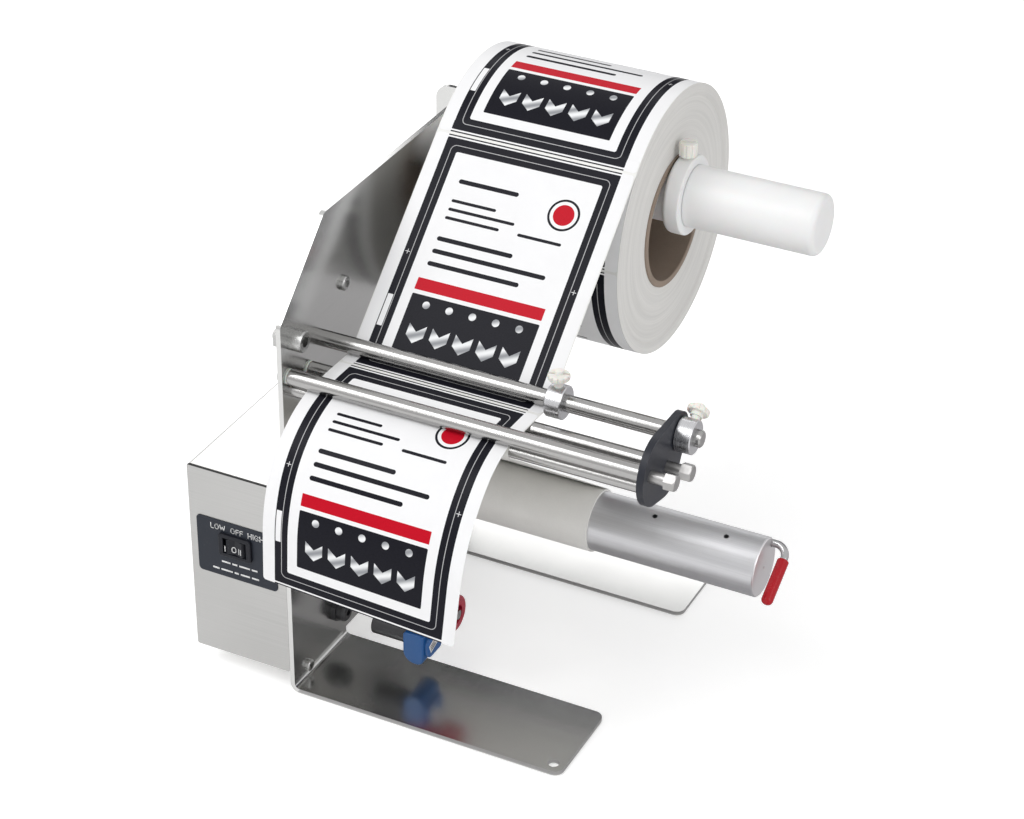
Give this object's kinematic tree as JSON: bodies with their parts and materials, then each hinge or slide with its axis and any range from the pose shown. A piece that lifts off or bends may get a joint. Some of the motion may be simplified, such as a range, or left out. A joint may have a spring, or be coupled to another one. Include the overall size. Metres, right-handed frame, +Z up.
{
  "type": "label dispenser",
  "caption": "Bench-top powered label dispenser: bent steel chassis, supply roll on a side spindle, guide bars that peel the label, and a driven take-up mandrel for the liner.",
  "frame": {"origin": "midway between the two bench screw holes in the feet, on the bench surface", "axes": "+X away from the side plate along the bars and the spindle, +Y from the front to the rear, +Z up"},
  "size_m": [0.337, 0.3552, 0.3435],
  "materials": {
    "stainless": "brushed",
    "bar_steel": "ground",
    "fastener_steel": "zinc plated",
    "black_panel": "satin",
    "black_plastic": "satin",
    "black_anodised": "satin",
    "aluminium": "turned",
    "cast_housing": "cast",
    "motor_steel": "plated",
    "gear_steel": "machined",
    "bronze": "sintered",
    "board_green": "solder mask",
    "component_black": "moulded",
    "white_plastic": "satin",
    "nylon": "natural",
    "cardboard_core": "wound board",
    "label_paper": "coated, printed",
    "liner_paper": "glassine",
    "clip_steel": "bright",
    "red_vinyl": "dipped vinyl",
    "blue_plastic": "moulded",
    "red_plastic": "moulded",
    "sensor_lens": "tinted"
  },
  "bodies": {
    "frame": {"chassis": "stainless", "motor_cover": "stainless", "front_panel": "stainless", "rear_panel": "stainless", "cover_screws": "fastener_steel", "switch_panel": "black_panel", "switch_body": "black_plastic", "power_inlet": "black_plastic", "gearbox_housing": "cast_housing", "gearbox_lid": "cast_housing", "gearbox_screws": "fastener_steel", "small_screws": "fastener_steel", "shaft_bushes": "bronze", "motor_can": "motor_steel", "control_board": "board_green", "board_standoffs": "bronze", "board_components": "component_black", "roller_axles": "bar_steel", "roller_washers": "nylon", "upper_bar": "bar_steel", "peel_bar": "bar_steel", "bar_screws": "fastener_steel", "supply_spindle": "white_plastic", "spindle_bolt": "fastener_steel", "label_web": "label_paper", "dispensed_label": "label_paper", "liner_web": "liner_paper", "plate_cap_screw": "fastener_steel", "plate_button_screw": "fastener_steel", "lock_nuts": "fastener_steel", "cable_gland": "black_plastic", "sensor_rod": "bar_steel"},
    "rocker": {"switch_rocker": "black_plastic"},
    "rotor": {"motor_shaft": "gear_steel", "drive_pinion": "gear_steel"},
    "mandrel": {"output_gear": "gear_steel", "output_shaft": "gear_steel", "takeup_mandrel": "aluminium", "mandrel_set_screws": "fastener_steel", "liner_roll": "liner_paper"},
    "clip": {"liner_clip": "clip_steel", "clip_grip": "red_vinyl"},
    "roll": {"label_roll": "label_paper", "roll_core": "cardboard_core"},
    "front_sleeve": {"front_roller": "bar_steel"},
    "rear_sleeve": {"rear_roller": "bar_steel"},
    "outer_plate": {"end_plate": "black_anodised"},
    "outer_collar": {"end_collar": "aluminium"},
    "outer_screw": {"end_screw": "nylon"},
    "edge_guide": {"guide_collar": "aluminium"},
    "edge_guide_screw": {"guide_screw": "nylon"},
    "stop_collar": {"spindle_collar": "white_plastic"},
    "stop_screw": {"spindle_screw": "nylon"},
    "sensor": {"sensor_arm": "black_plastic", "sensor_body": "blue_plastic", "sensor_end_cap": "black_plastic", "sensor_lenses": "sensor_lens"},
    "clamp_knob": {"sensor_knob": "red_plastic", "knob_insert": "aluminium"}
  },
  "joints": [
    {"name": "mandrel_spin", "type": "hinge", "parent": "frame", "child": "mandrel", "pos_m": [-0.042, 0.0043, 0.1003], "axis": [1, 0, 0], "continuous": true},
    {"name": "motor_spin", "type": "hinge", "parent": "frame", "child": "rotor", "pos_m": [-0.184, -0.0237, 0.1003], "axis": [1, 0, 0], "continuous": true},
    {"name": "clip_slide", "type": "slide", "parent": "mandrel", "child": "clip", "axis": [1, 0, 0], "range_m": [0, 0.22]},
    {"name": "roll_spin", "type": "hinge", "parent": "frame", "child": "roll", "pos_m": [-0.0895, 0.102, 0.26005], "axis": [1, 0, 0], "continuous": true},
    {"name": "front_roller_spin", "type": "hinge", "parent": "frame", "child": "front_sleeve", "pos_m": [-0.062, -0.1076, 0.2215], "axis": [1, 0, 0], "continuous": true},
    {"name": "rear_roller_spin", "type": "hinge", "parent": "frame", "child": "rear_sleeve", "pos_m": [-0.062, -0.0851, 0.21472], "axis": [1, 0, 0], "continuous": true},
    {"name": "end_plate_slide", "type": "slide", "parent": "frame", "child": "outer_plate", "axis": [1, 0, 0], "range_m": [0, 0.0085]},
    {"name": "end_collar_slide", "type": "slide", "parent": "outer_plate", "child": "outer_collar", "axis": [1, 0, 0], "range_m": [0, 0.018]},
    {"name": "end_screw_turn", "type": "hinge", "parent": "outer_collar", "child": "outer_screw", "pos_m": [0.0591, -0.0695, 0.2275], "axis": [0, 0.848, 0.5299], "range_deg": [0, 360]},
    {"name": "guide_slide", "type": "slide", "parent": "frame", "child": "edge_guide", "axis": [1, 0, 0], "range_m": [0, 0.064]},
    {"name": "guide_screw_turn", "type": "hinge", "parent": "edge_guide", "child": "edge_guide_screw", "pos_m": [-0.0197, -0.0695, 0.2275], "axis": [0, 0, 1], "range_deg": [0, 360]},
    {"name": "stop_slide", "type": "slide", "parent": "frame", "child": "stop_collar", "axis": [1, 0, 0], "range_m": [0, 0.078]},
    {"name": "stop_screw_turn", "type": "hinge", "parent": "stop_collar", "child": "stop_screw", "pos_m": [-0.0187, 0.102, 0.279], "axis": [0, 0, 1], "range_deg": [0, 360]},
    {"name": "rocker_tilt", "type": "hinge", "parent": "frame", "child": "rocker", "pos_m": [-0.209, -0.112, 0.096], "axis": [0, 0, 1], "range_deg": [-12, 12]},
    {"name": "sensor_swing", "type": "hinge", "parent": "frame", "child": "sensor", "pos_m": [-0.13, -0.063, 0.053], "axis": [1, 0, 0], "range_deg": [-60, 90]},
    {"name": "knob_turn", "type": "hinge", "parent": "frame", "child": "clamp_knob", "pos_m": [-0.094, -0.063, 0.053], "axis": [1, 0, 0], "range_deg": [0, 360]}
  ],
  "couplings": [
    {"joint": "motor_spin", "follows": "mandrel_spin", "ratio": -4}
  ]
}
